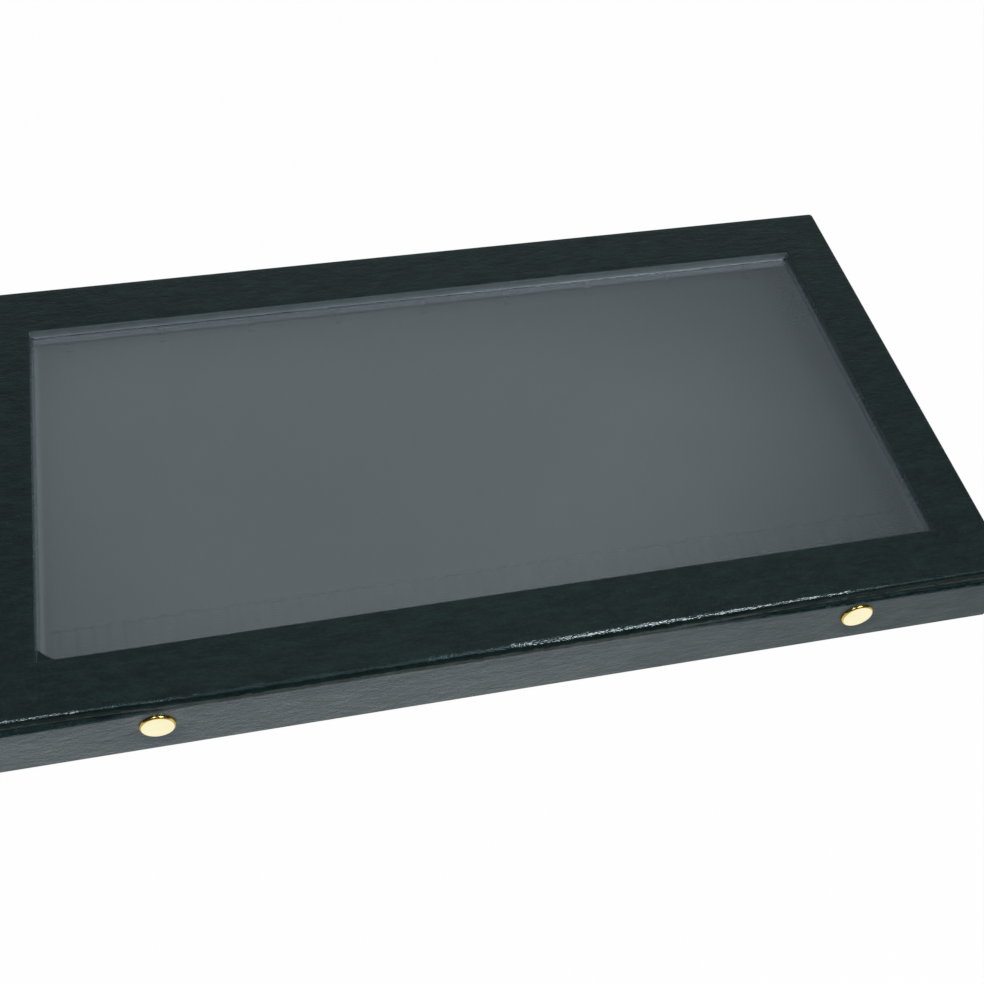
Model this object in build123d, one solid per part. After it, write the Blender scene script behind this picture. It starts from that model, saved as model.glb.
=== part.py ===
from build123d import *
import os

# A shallow necklace display box: a leatherette-covered tray with a mitred wooden frame, a
# glass-topped lid hinged along the back by a leatherette spine, and a front flap that folds
# down over the tray's front wall and closes on two brass snap fasteners.
# X runs along the length, Y to the back and Z up. The origin is on the table, under the
# middle of the closed box's outline, with the snap caps included.

# Box and lid, in millimetres
box_length = 374.65
box_depth = 209.55
box_height = 30.2
lid_height = 6.5
window_side = 21.6
window_back = 25.7
window_front = 22.4

# Skins, cloths and boards
leatherette = 0.8
velvet = 0.6
spine_skin = 0.9
tray_wall = 6.0
base_board = 3.0
base_inset = 0.6
rim_turn_in = 7.0

# Glass
glass_drop = 3.8
glass_thickness = 2.0
glass_overlap = 6.0
glass_play = 0.4

# Rounded edges
fold_radius = 1.2
upright_radius = 1.0
window_edge_radius = 0.5

# Front flap
flap_stand = 0.5
flap_card = 1.2
flap_foot_gap = 0.6
flap_end_gap = 0.5
flap_shoulder = 1.6
flap_edge_radius = 0.7
groove_height = 1.2
groove_sag = 0.4

# Back spine
spine_end_gap = 0.8
spine_foot_gap = 1.0
spine_head_gap = 1.4
crease_width = 1.6
crease_depth = 0.45

# Snap fasteners
snap_spacing = 257.0
snap_height = 15.2
snap_gap = 3.0
snap_clearance = 0.3
cap_radius = 6.25
cap_height = 1.2
cap_face_radius = 5.45
cap_shoulder_bulge = 0.7
post_radius = 1.4
post_clearance = 0.1
socket_radius = 5.5
socket_floor = 0.5
spring_play = 0.05
stud_base_radius = 5.0
stud_base_height = 0.5
stud_head_radius = 2.7
stud_neck_radius = 2.3
spring_wire = 0.5
spring_gap = 60.0
rivet_head_radius = 4.0
rivet_head_height = 0.5

# Necklace pad
pad_gap = 0.6
pad_board = 2.0
pad_foam = 4.0
pad_velvet = 0.8
pad_edge_radius = 2.4
hook_count = 9
hook_pitch = 38.0
hook_inset = 8.0
hook_width = 2.6
hook_strip = 0.7
hook_rise = 4.2
hook_bend_radius = 1.7
hook_tip = 1.2
hook_foot = 4.0
hook_slit_clearance = 0.1
pouch_depth = 28.0
pouch_thickness = 1.0
pouch_hem_radius = 1.1
pouch_front_inset = 4.0
pouch_end_inset = 16.0

# Places worked out from the sizes
back_y = (box_depth + flap_stand + cap_height) / 2
front_y = back_y - box_depth
lid_base = box_height - lid_height
lid_back = back_y - spine_skin
glass_top = box_height - glass_drop
glass_base = glass_top - glass_thickness
flap_thickness = leatherette + flap_card + velvet
flap_out = front_y - flap_stand
flap_in = flap_out + flap_thickness
flap_top = lid_base - groove_height
tray_front = flap_in + snap_gap
floor_z = leatherette + base_board
wall_top = lid_base - leatherette

window = (
    -box_length / 2 + window_side,
    front_y + window_front,
    box_length / 2 - window_side,
    back_y - window_back,
)
lid_outline = (-box_length / 2, front_y, box_length / 2, lid_back)
tray_outline = (-box_length / 2, tray_front, box_length / 2, lid_back)


def inset(bounds, amount):
    """A rectangle (x0, y0, x1, y1) drawn in on all sides, or out where amount is negative."""
    x0, y0, x1, y1 = bounds
    return (x0 + amount, y0 + amount, x1 - amount, y1 - amount)


def plate(bounds, base_z, top_z):
    """A flat plate over a rectangle, from one height to another."""
    x0, y0, x1, y1 = bounds
    middle = Pos((x0 + x1) / 2, (y0 + y1) / 2, base_z)
    return extrude(middle * Rectangle(x1 - x0, y1 - y0), top_z - base_z)


def corners(bounds):
    """The four corners, round from the front left."""
    x0, y0, x1, y1 = bounds
    return [(x0, y0), (x1, y0), (x1, y1), (x0, y1)]


def mitred_frame(outer, inner, base_z, top_z):
    """Four rails of a frame, each cut on the line from its outer to its inner corners."""
    out, inn = corners(outer), corners(inner)
    rails = {}
    for k, side in enumerate(("front", "right", "back", "left")):
        n = (k + 1) % 4
        outline = Polygon(out[k], out[n], inn[n], inn[k], align=None)
        rails[side] = extrude(Pos(0, 0, base_z) * outline, top_z - base_z)
    return rails


def along_x(profile, length):
    """A profile drawn in Y and Z, drawn out both ways along the box."""
    return extrude(Plane.YZ * profile, length / 2, both=True)


def turned(*edges):
    """A round part from half its section, drawn as radius and height."""
    return revolve(Plane.XZ * make_face(edges), Axis.Z)


def at_snaps(shape, face_y):
    """Both copies of a round part, pointing to the front from a given depth."""
    spots = [Pos(side * snap_spacing / 2, face_y, snap_height) for side in (-1, 1)]
    return Compound(children=[spot * Rot(90, 0, 0) * shape for spot in spots])


def drilled(shape, radius, face_y, reach):
    """The shape with a hole at each snap, from a given depth to the front."""
    return shape - at_snaps(extrude(Circle(radius), reach), face_y)


# Tray
tray_core = inset(tray_outline, leatherette)
cavity = inset(tray_core, tray_wall)


def make_tray_walls():
    walls = mitred_frame(tray_core, cavity, floor_z, wall_top)
    inner_face = tray_core[1] + tray_wall
    front = drilled(walls["front"], post_radius + post_clearance, inner_face, tray_wall)
    walls["front"] = drilled(front, rivet_head_radius + post_clearance, inner_face, rivet_head_height)
    return walls


def make_tray_cover():
    """Leatherette over the walls' outside and rim, turned in a little way inside."""
    outer = plate(tray_outline, leatherette, lid_base)
    outer = fillet(outer.edges().filter_by(Axis.Z), upright_radius)
    outer = fillet(outer.edges().group_by(Axis.Z)[-1], upright_radius / 2)
    walls = plate(tray_core, leatherette, wall_top) - plate(cavity, leatherette, wall_top)
    below = plate(tray_core, leatherette, floor_z)
    mouth = plate(inset(cavity, leatherette), leatherette, lid_base)
    bare = plate(cavity, leatherette, lid_base - rim_turn_in)
    cover = outer - walls - below - mouth - bare
    return drilled(cover, post_radius + post_clearance, tray_core[1], leatherette)


def make_tray_lining():
    top = lid_base - rim_turn_in
    return plate(cavity, floor_z, top) - plate(inset(cavity, velvet), floor_z + velvet, top)


def make_base_panel():
    panel = plate(inset(tray_outline, base_inset), 0, leatherette)
    return fillet(panel.edges().filter_by(Axis.Z), upright_radius)


# Necklace pad
pad_outline = inset(cavity, leatherette + pad_gap)
pad_core = inset(pad_outline, pad_velvet)
pad_base = floor_z + velvet
pad_top = pad_base + pad_board + pad_foam + pad_velvet
hook_y = pad_outline[3] - hook_inset
hook_spots = [((k - (hook_count - 1) / 2) * hook_pitch, hook_y) for k in range(hook_count)]


def hook_slits(base_z, top_z):
    """The slits that the hooks' tongues go through."""
    slit = Rectangle(hook_width + 2 * hook_slit_clearance, hook_strip + 2 * hook_slit_clearance)
    slits = [Pos(x, y, base_z) * slit for x, y in hook_spots]
    return extrude(Sketch(children=slits), top_z - base_z)


def make_pad_foam():
    base, top = pad_base + pad_board, pad_top - pad_velvet
    foam = plate(pad_core, base, top)
    foam = fillet(foam.edges().group_by(Axis.Z)[-1], pad_edge_radius - pad_velvet)
    return foam - hook_slits(base, top)


def make_pad_cover():
    cover = plate(pad_outline, pad_base, pad_top)
    cover = fillet(cover.edges().group_by(Axis.Z)[-1], pad_edge_radius)
    core = plate(pad_core, pad_base, pad_top - pad_velvet)
    core = fillet(core.edges().group_by(Axis.Z)[-1], pad_edge_radius - pad_velvet)
    return cover - core - hook_slits(pad_top - pad_velvet, pad_top)


def make_hooks():
    """Hooks of bent strip, open to the back, with a foot on the velvet and a tongue in the foam."""
    half = hook_strip / 2
    near, far = hook_bend_radius - half, hook_bend_radius + half
    across = 2 * hook_bend_radius
    outline = [
        Polyline((half, hook_rise), (half, -(pad_velvet + pad_foam)), (-half, -(pad_velvet + pad_foam))),
        Polyline((-half, -(pad_velvet + pad_foam)), (-half, 0), (-hook_foot, 0), (-hook_foot, hook_strip)),
        Polyline((-hook_foot, hook_strip), (-half, hook_strip), (-half, hook_rise)),
        ThreePointArc((-half, hook_rise), (hook_bend_radius, hook_rise + far), (across + half, hook_rise)),
        Polyline((across + half, hook_rise), (across + half, hook_rise - hook_tip)),
        Polyline((across + half, hook_rise - hook_tip), (across - half, hook_rise - hook_tip)),
        Polyline((across - half, hook_rise - hook_tip), (across - half, hook_rise)),
        ThreePointArc((across - half, hook_rise), (hook_bend_radius, hook_rise + near), (half, hook_rise)),
    ]
    hook = along_x(make_face(outline), hook_width)
    return Compound(children=[Pos(x, y, pad_top) * hook for x, y in hook_spots])


def make_pouch():
    """A flat elastic pocket for the chain ends, with a rolled hem along its open edge."""
    front = pad_outline[1] + pouch_front_inset
    hem_y = front + pouch_depth
    flat = Pos((front + hem_y) / 2, pad_top + pouch_thickness / 2) * Rectangle(pouch_depth, pouch_thickness)
    hem = Pos(hem_y, pad_top + pouch_hem_radius) * Circle(pouch_hem_radius)
    length = pad_outline[2] - pad_outline[0] - 2 * pouch_end_inset
    return along_x(flat + hem, length)


# Lid
lid_core = inset(lid_outline, leatherette)
board_window = inset(window, -leatherette)
glass_outline = inset(window, -glass_overlap)


def make_lid_rails():
    """The lid's wooden frame, rebated underneath for the glass."""
    rails = mitred_frame(lid_core, board_window, glass_base, box_height - leatherette)
    rebate = plate(inset(glass_outline, -glass_play), glass_base, glass_top)
    return {side: rail - rebate for side, rail in rails.items()}


def make_lid_cover():
    """Leatherette over the lid's top and edges, turned down the window to the glass."""
    outer = plate(lid_outline, lid_base, box_height)
    outer = fillet(outer.edges().filter_by(Axis.Z), upright_radius)
    outer = fillet(outer.edges().group_by(Axis.Z)[-1], fold_radius)
    core = plate(lid_core, lid_base, box_height - leatherette)
    turn_down = plate(board_window, glass_top, box_height)
    cover = (outer - core + turn_down) - plate(window, lid_base, box_height)
    x0, y0, x1, y1 = window
    top_edges = cover.edges().group_by(Axis.Z)[-1]
    reach = window_edge_radius
    rim = [
        edge
        for edge in top_edges
        if x0 - reach < edge.center().X < x1 + reach and y0 - reach < edge.center().Y < y1 + reach
    ]
    return fillet(rim, window_edge_radius)


def make_lid_lining():
    return plate(lid_core, lid_base, glass_base) - plate(window, lid_base, glass_base)


# Spine
hinge_z = lid_base


def make_spine():
    """The leatherette strip up the back, with the crease where the lid turns."""
    foot, head = spine_foot_gap, box_height - spine_head_gap
    inner = back_y - spine_skin
    outline = Polyline(
        (inner, foot),
        (back_y, foot),
        (back_y, hinge_z - crease_width / 2),
        (back_y - crease_depth, hinge_z),
        (back_y, hinge_z + crease_width / 2),
        (back_y, head),
        (inner, head),
        close=True,
    )
    return along_x(make_face(outline), box_length - 2 * spine_end_gap)


# Front flap
flap_length = box_length - 2 * flap_end_gap
flap_bounds = (-flap_length / 2, flap_out, flap_length / 2, flap_in)
flap_hole = post_radius + post_clearance


def flap_pocket(outer_y, inner_y):
    """The space inside the flap cover's turned edges, between two depths."""
    edge = flap_length / 2 - leatherette
    return plate((-edge, outer_y, edge, inner_y), flap_foot_gap + leatherette, flap_top - leatherette)


def flap_layer(outer_y, inner_y):
    return drilled(flap_pocket(outer_y, inner_y), flap_hole, inner_y, inner_y - outer_y)


def make_flap_cover():
    """Leatherette over the flap's face, turned over its four edges."""
    outer = plate(flap_bounds, flap_foot_gap, flap_top)
    front = outer.faces().sort_by(Axis.Y)[0]
    outer = fillet(front.edges().group_by(Axis.Z)[-1], flap_shoulder)
    front = outer.faces().sort_by(Axis.Y)[0]
    outer = fillet(front.edges().group_by(Axis.Z)[0], flap_edge_radius)
    pocket = flap_pocket(flap_out + leatherette, flap_in)
    return drilled(outer - pocket, flap_hole, flap_out + leatherette, leatherette)


def make_flap_hinge():
    """The free leatherette between the lid's edge and the flap, drawn in as a groove."""
    middle = (lid_base + flap_top) / 2
    upper_out, upper_in = front_y, front_y + leatherette
    lower_out, lower_in = flap_in - leatherette, flap_in
    bend_out = (upper_out + lower_out) / 2 + groove_sag
    bend_in = (upper_in + lower_in) / 2 + groove_sag
    outline = [
        Line((upper_in, lid_base), (upper_out, lid_base)),
        ThreePointArc((upper_out, lid_base), (bend_out, middle), (lower_out, flap_top)),
        Line((lower_out, flap_top), (lower_in, flap_top)),
        ThreePointArc((lower_in, flap_top), (bend_in, middle), (upper_in, lid_base)),
    ]
    return along_x(make_face(outline), flap_length)


# Snap fasteners
socket_height = snap_gap - stud_base_height - snap_clearance
socket_bore = stud_head_radius + snap_clearance
stud_height = snap_gap - socket_floor - snap_clearance


def make_cap():
    """A low brass cap with a rounded shoulder, on a post that goes through the flap."""
    post = flap_thickness + socket_floor
    edge = cap_height / 3
    shoulder = cap_face_radius + (cap_radius - cap_face_radius) * cap_shoulder_bulge
    return turned(
        Polyline(
            (0, cap_height),
            (0, -post),
            (post_radius, -post),
            (post_radius, 0),
            (cap_radius, 0),
            (cap_radius, edge),
        ),
        ThreePointArc((cap_radius, edge), (shoulder, cap_height - edge / 2), (cap_face_radius, cap_height)),
        Line((cap_face_radius, cap_height), (0, cap_height)),
    )


def make_socket():
    """The ring under the flap, with a groove in its bore for the wire spring."""
    hole = post_radius + post_clearance
    round_off = socket_height / 4
    low = socket_floor + spring_wire
    high = low + spring_wire + 2 * spring_play
    deep = socket_bore + spring_wire + spring_play
    return turned(
        Polyline(
            (hole, 0),
            (socket_radius, 0),
            (socket_radius, socket_height - round_off),
            (socket_radius - round_off, socket_height),
            (socket_bore + round_off, socket_height),
            (socket_bore, socket_height - round_off),
            (socket_bore, high),
            (deep, high),
            (deep, low),
            (socket_bore, low),
            (socket_bore, socket_floor),
            (hole, socket_floor),
            close=True,
        )
    )


def make_spring():
    """A split ring of square wire in the socket's groove."""
    low = socket_floor + spring_wire + spring_play
    section = Pos(socket_bore + spring_wire / 2, low + spring_wire / 2) * Rectangle(spring_wire, spring_wire)
    return revolve(Plane.XZ * section, Axis.Z, 360 - spring_gap)


def make_stud():
    """The brass stud on the tray's front wall, with its neck and rounded head."""
    hole = post_radius + post_clearance
    swell = stud_head_radius - stud_neck_radius
    neck_top = stud_base_height + (stud_height - stud_base_height) / 3
    head_edge = stud_height - 2 * swell
    return turned(
        Polyline(
            (0, stud_height),
            (0, stud_base_height),
            (hole, stud_base_height),
            (hole, 0),
            (stud_base_radius, 0),
            (stud_base_radius, stud_base_height),
            (stud_neck_radius, stud_base_height),
            (stud_neck_radius, neck_top),
            (stud_head_radius, neck_top + swell / 2),
            (stud_head_radius, head_edge),
            (stud_neck_radius, stud_height),
            close=True,
        )
    )


def make_rivet():
    """The rivet that holds the stud, its flat head let into the wall's inner face."""
    shank = tray_wall + leatherette + stud_base_height
    return turned(
        Polyline(
            (0, 0),
            (rivet_head_radius, 0),
            (rivet_head_radius, rivet_head_height),
            (post_radius, rivet_head_height),
            (post_radius, shank),
            (0, shank),
            close=True,
        )
    )


def build():
    parts = {}
    for side, wall in make_tray_walls().items():
        parts[f"tray_{side}_wall"] = wall
    parts["tray_bottom_board"] = plate(tray_core, leatherette, floor_z)
    parts["tray_base_panel"] = make_base_panel()
    parts["tray_cover"] = make_tray_cover()
    parts["tray_lining"] = make_tray_lining()
    parts["pad_board"] = plate(pad_core, pad_base, pad_base + pad_board)
    parts["pad_foam"] = make_pad_foam()
    parts["pad_cover"] = make_pad_cover()
    parts["necklace_hooks"] = make_hooks()
    parts["chain_pouch"] = make_pouch()
    parts["snap_studs"] = at_snaps(make_stud(), tray_front)
    parts["snap_stud_rivets"] = at_snaps(make_rivet(), tray_core[1] + tray_wall)
    parts["hinge_spine"] = make_spine()

    for side, rail in make_lid_rails().items():
        parts[f"lid_{side}_rail"] = rail
    parts["lid_cover"] = make_lid_cover()
    parts["lid_lining"] = make_lid_lining()
    parts["glass_pane"] = plate(glass_outline, glass_base, glass_top)

    parts["flap_board"] = flap_layer(flap_out + leatherette, flap_in - velvet)
    parts["flap_lining"] = flap_layer(flap_in - velvet, flap_in)
    parts["flap_cover"] = make_flap_cover()
    parts["flap_hinge"] = make_flap_hinge()
    parts["snap_caps"] = at_snaps(make_cap(), flap_out)
    parts["snap_sockets"] = at_snaps(Rot(180, 0, 0) * make_socket(), flap_in)
    parts["snap_springs"] = at_snaps(Rot(180, 0, 0) * make_spring(), flap_in)
    return parts


os.makedirs("parts", exist_ok=True)
for node, shape in build().items():
    export_step(shape, f"parts/{node}.step")
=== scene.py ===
import math

import bmesh
import bpy
import numpy as np
from mathutils import Matrix, Vector, noise


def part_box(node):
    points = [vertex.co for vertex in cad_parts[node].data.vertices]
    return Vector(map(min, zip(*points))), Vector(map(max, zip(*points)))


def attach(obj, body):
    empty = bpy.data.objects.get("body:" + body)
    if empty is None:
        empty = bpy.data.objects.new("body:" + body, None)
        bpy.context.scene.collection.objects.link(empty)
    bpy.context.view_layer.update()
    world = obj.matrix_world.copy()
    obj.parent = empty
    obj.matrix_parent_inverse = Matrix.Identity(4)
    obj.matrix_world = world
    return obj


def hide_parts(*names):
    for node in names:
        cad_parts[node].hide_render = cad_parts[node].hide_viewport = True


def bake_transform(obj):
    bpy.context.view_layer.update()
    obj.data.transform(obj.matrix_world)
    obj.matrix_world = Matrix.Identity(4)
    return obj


# A black leatherette necklace display box with a glass lid, seen closed from above its front edge.
# The frame is in metres, and the sizes below are in millimetres until they reach a mesh.

MM = 0.001

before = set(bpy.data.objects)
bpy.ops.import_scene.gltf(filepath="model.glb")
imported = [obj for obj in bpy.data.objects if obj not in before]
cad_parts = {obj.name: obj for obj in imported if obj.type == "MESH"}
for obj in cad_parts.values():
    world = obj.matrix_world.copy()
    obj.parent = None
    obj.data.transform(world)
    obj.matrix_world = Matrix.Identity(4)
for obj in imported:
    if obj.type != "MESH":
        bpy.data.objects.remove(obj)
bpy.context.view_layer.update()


def node_box(name):
    """A CAD node's lowest and highest corners, in millimetres."""
    low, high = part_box(name)
    return [c / MM for c in low], [c / MM for c in high]


def plan(low, high):
    """A box's bounds seen from above: left, front, right, back."""
    return (*low[:2], *high[:2])


def grow(bounds, amount):
    x0, y0, x1, y1 = bounds
    return (x0 - amount, y0 - amount, x1 + amount, y1 + amount)


lid_low, lid_high = node_box("lid_cover")
glass_low, glass_high = node_box("glass_pane")
flap_low, flap_high = node_box("flap_cover")
tray_low, tray_high = node_box("tray_cover")
spine_low, spine_high = node_box("hinge_spine")
pad_low, pad_high = node_box("pad_cover")
pouch_low, pouch_high = node_box("chain_pouch")
hook_low, hook_high = node_box("necklace_hooks")
caps_low, caps_high = node_box("snap_caps")
lining_low, lining_high = node_box("tray_lining")

# Leatherette and velvet
SKIN = 0.45
CLOTH = 0.6
SEED = Vector((3.7, 1.9, 8.2))

# Lid
LID_BASE = lid_low[2]
LID_TOP = lid_high[2]
FRONT = lid_low[1]
GLASS_OVERLAP = 6.0
WINDOW = grow(plan(glass_low, glass_high), -GLASS_OVERLAP)
OUTLINE = plan(lid_low, lid_high)
GLASS_TOP = glass_high[2]

# Flap and its snap caps
FLAP_OUT = flap_low[1]
FLAP_IN = flap_high[1]
FLAP_TOP = flap_high[2]
FLAP_FOOT = flap_low[2]
CAP_RADIUS = (caps_high[2] - caps_low[2]) / 2
CAP_X = (caps_high[0] - caps_low[0]) / 2 - CAP_RADIUS
CAP_Z = (caps_high[2] + caps_low[2]) / 2

# Numbers of mesh steps along the long and short sides and round a corner
STEPS_LONG = 190
STEPS_SHORT = 104
STEPS_CORNER = 5


# Mesh helpers


def build(name, verts, faces, smooth=True):
    """A mesh object from points in millimetres."""
    mesh = bpy.data.meshes.new(name)
    mesh.from_pydata([tuple(c * MM for c in v) for v in verts], [], faces)
    mesh.update()
    obj = bpy.data.objects.new(name, mesh)
    bpy.context.scene.collection.objects.link(obj)
    if smooth:
        mesh.shade_smooth()
    return obj


def keep_rest(obj):
    """Stores each point's place at rest, so that a material's grain stays with it when it bends."""
    co = np.zeros(len(obj.data.vertices) * 3, np.float32)
    obj.data.vertices.foreach_get("co", co)
    rest = obj.data.attributes.new("rest", "FLOAT_VECTOR", "POINT")
    rest.data.foreach_set("vector", co)


def apply_modifiers(obj):
    graph = bpy.context.evaluated_depsgraph_get()
    mesh = bpy.data.meshes.new_from_object(obj.evaluated_get(graph))
    obj.modifiers.clear()
    obj.data = mesh


def weld(obj):
    """Joins points that share a place and drops the faces that this leaves without area."""
    mesh = bmesh.new()
    mesh.from_mesh(obj.data)
    bmesh.ops.remove_doubles(mesh, verts=mesh.verts, dist=0.01 * MM)
    bmesh.ops.dissolve_degenerate(mesh, edges=mesh.edges, dist=0.005 * MM)
    mesh.to_mesh(obj.data)
    mesh.free()


def thicken(obj, thickness):
    """Gives a sheet of faces its thickness, inwards."""
    weld(obj)
    solid = obj.modifiers.new("thickness", "SOLIDIFY")
    solid.thickness = thickness * MM
    solid.offset = -1
    solid.use_even_offset = False
    apply_modifiers(obj)


def face_outwards(obj):
    """Turns every face of a closed piece outwards."""
    mesh = bmesh.new()
    mesh.from_mesh(obj.data)
    bmesh.ops.recalc_face_normals(mesh, faces=mesh.faces)
    mesh.to_mesh(obj.data)
    mesh.free()


def finish_piece(obj, material, body=None, replaces=()):
    """Gives a piece its material, slot and body, and hides the CAD nodes that it stands for."""
    obj.data.materials.clear()
    obj.data.materials.append(material)
    keep_rest(obj)
    if replaces:
        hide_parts(*replaces)
    if body:
        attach(obj, body)
    return obj


def wander(point, size, amount):
    """A smooth random height at a point in millimetres, for waves of that size."""
    return amount * noise.noise(Vector(point) / size + SEED)


def smoothstep(low, high, x):
    t = min(max((x - low) / (high - low), 0), 1)
    return t * t * (3 - 2 * t)


def spread(start, end, steps):
    """Evenly spaced values from start to end, both included."""
    return [start + (end - start) * k / steps for k in range(steps + 1)]


def arc(radius, angles):
    """Points of a round edge, as pairs of the way gone straight on and the way turned off."""
    return [(radius * math.sin(math.radians(a)), radius * (1 - math.cos(math.radians(a)))) for a in angles]


def loop_points(bounds, radius):
    """Points round a rectangle with rounded corners, from the front left corner's end, anticlockwise.
    Each comes with its side: 0 front, 1 right, 2 back, 3 left, and -1 in a corner."""
    x0, y0, x1, y1 = bounds
    left, front, right, back = grow(bounds, -radius)
    centres = [(right, front), (right, back), (left, back), (left, front)]
    ends = [
        ((left, y0), (right, y0)),
        ((x1, front), (x1, back)),
        ((right, y1), (left, y1)),
        ((x0, back), (x0, front)),
    ]
    points = []
    for side, (start, end) in enumerate(ends):
        count = STEPS_LONG if side % 2 == 0 else STEPS_SHORT
        for k in range(count):
            t = k / count
            points.append((*(a + (b - a) * t for a, b in zip(start, end)), side))
        x, y = centres[side]
        for k in range(STEPS_CORNER):
            turn = math.radians(-90 + 90 * side + 90 * k / STEPS_CORNER)
            points.append((x + radius * math.cos(turn), y + radius * math.sin(turn), -1 if k else side))
    return points


def ring_faces(rings, count):
    """Faces between rings of points, each ring closed."""
    faces = []
    for r in range(rings - 1):
        for k in range(count):
            n = (k + 1) % count
            faces.append((r * count + k, r * count + n, (r + 1) * count + n, (r + 1) * count + k))
    return faces


def tube_faces(rings, count):
    """Ring faces with a cap over each end."""
    last = (rings - 1) * count
    caps = [tuple(range(count))[::-1], tuple(last + k for k in range(count))]
    return ring_faces(rings, count) + caps


def strip_faces(before, after):
    """Faces between two rows of point numbers."""
    return [(before[k], before[k + 1], after[k + 1], after[k]) for k in range(len(after) - 1)]


def grid_faces(start, rows, columns, flip=False):
    """Faces of a grid of points, numbered row by row from start."""
    faces = []
    for r in range(rows - 1):
        for c in range(columns - 1):
            a = start + r * columns + c
            face = (a, a + 1, a + columns + 1, a + columns)
            faces.append(face[::-1] if flip else face)
    return faces


def rounded_slab(name, low, high, radius, step, fine):
    """A closed slab with rounded edges, its faces in a grid."""

    def lines(a, b):
        inner = max(int(round((b - a - 2 * radius) / step)), 1)
        ramp = [radius * (1 - math.cos(math.pi / 2 * k / fine)) for k in range(fine + 1)]
        middle = [a + radius + (b - a - 2 * radius) * k / inner for k in range(1, inner)]
        return [a + r for r in ramp] + middle + [b - r for r in reversed(ramp)]

    axes = [lines(low[i], high[i]) for i in range(3)]
    found, verts, faces = {}, [], []

    def point(p):
        key = tuple(round(c, 5) for c in p)
        if key not in found:
            core = [min(max(c, low[i] + radius), high[i] - radius) for i, c in enumerate(p)]
            away = Vector([c - k for c, k in zip(p, core)])
            if away.length > 1e-9:
                away = away.normalized() * radius
            found[key] = len(verts)
            verts.append(tuple(k + a for k, a in zip(core, away)))
        return found[key]

    for axis in range(3):
        u, v = (axis + 1) % 3, (axis + 2) % 3
        for end in (0, 1):
            for i in range(len(axes[u]) - 1):
                for j in range(len(axes[v]) - 1):
                    corners = []
                    for du, dv in ((0, 0), (1, 0), (1, 1), (0, 1)):
                        p = [0, 0, 0]
                        p[axis] = (low, high)[end][axis]
                        p[u], p[v] = axes[u][i + du], axes[v][j + dv]
                        corners.append(point(p))
                    faces.append(corners if end else corners[::-1])
    return build(name, verts, faces)


def lathe(name, profile, centre, turns=72):
    """A round piece on an axis along -Y, from radius and height pairs, from axis to axis."""
    x, y, z = centre
    verts = []
    for radius, height in profile:
        for k in range(turns):
            a = 2 * math.pi * k / turns
            verts.append((x + radius * math.cos(a), y - height, z + radius * math.sin(a)))
    return build(name, verts, tube_faces(len(profile), turns))


# Materials


class Nodes:
    """Short calls to build the nodes of a material or of the world."""

    def __init__(self, owner):
        owner.use_nodes = True
        self.owner = owner
        self.tree = owner.node_tree
        self.tree.nodes.clear()

    def add(self, kind, inputs=None, **settings):
        node = self.tree.nodes.new(kind)
        for key, value in settings.items():
            setattr(node, key, value)
        for key, value in (inputs or {}).items():
            if isinstance(value, bpy.types.NodeSocket):
                self.tree.links.new(value, node.inputs[key])
            else:
                node.inputs[key].default_value = value
        return node

    def rest(self, stretch=(1, 1, 1)):
        """Points at rest in metres, stretched along each axis."""
        place = self.add("ShaderNodeAttribute", attribute_name="rest")
        return self.add("ShaderNodeMapping", {"Vector": place.outputs["Vector"], "Scale": stretch}).outputs[0]

    def place(self, stretch=(1, 1, 1)):
        """Points of a CAD node in metres, stretched along each axis."""
        place = self.add("ShaderNodeTexCoord")
        return self.add("ShaderNodeMapping", {"Vector": place.outputs["Object"], "Scale": stretch}).outputs[0]

    def noise(self, vector, scale, detail=3.0, rough=0.55, distort=0.0):
        return self.add(
            "ShaderNodeTexNoise",
            {"Vector": vector, "Scale": scale, "Detail": detail, "Roughness": rough, "Distortion": distort},
        ).outputs["Fac"]

    def cells(self, vector, scale, feature="F1"):
        inputs = {"Vector": vector, "Scale": scale, "Randomness": 1.0}
        return self.add("ShaderNodeTexVoronoi", inputs, feature=feature).outputs["Distance"]

    def axis(self, vector, letter):
        return self.add("ShaderNodeSeparateXYZ", {0: vector}).outputs[letter]

    def math(self, operation, a, b=0.0, clamp=False):
        return self.add("ShaderNodeMath", {0: a, 1: b}, operation=operation, use_clamp=clamp).outputs[0]

    def weigh(self, first, *others, clamp=False):
        """The sum of values, each times its weight."""
        total = self.math("MULTIPLY", *first)
        for pair in others:
            total = self.math("ADD", total, self.math("MULTIPLY", *pair), clamp)
        return total

    def ramp(self, value, low, high, to_low=0.0, to_high=1.0, kind="LINEAR"):
        inputs = {"Value": value, "From Min": low, "From Max": high, "To Min": to_low, "To Max": to_high}
        return self.add("ShaderNodeMapRange", inputs, interpolation_type=kind).outputs[0]

    def blend(self, factor, a, b):
        mix = self.add("ShaderNodeMix", data_type="RGBA")
        self.tree.links.new(factor, mix.inputs[0])
        mix.inputs[6].default_value = (*a, 1)
        mix.inputs[7].default_value = (*b, 1)
        return mix.outputs[2]

    def bump(self, height, distance, strength=1.0, normal=None):
        inputs = {"Height": height, "Distance": distance, "Strength": strength}
        if normal:
            inputs["Normal"] = normal
        return self.add("ShaderNodeBump", inputs).outputs[0]

    def mix_shader(self, factor, a, b):
        return self.add("ShaderNodeMixShader", {0: factor, 1: a.outputs[0], 2: b.outputs[0]})

    def surface(self, inputs):
        return self.output(self.add("ShaderNodeBsdfPrincipled", inputs))

    def output(self, shader, kind="ShaderNodeOutputMaterial"):
        self.add(kind, {"Surface": shader.outputs[0]})
        return self.owner


def material_nodes(name):
    return Nodes(bpy.data.materials.new(name))


PLAIN_TINT = (0.8, 0.95, 1.0)


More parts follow.
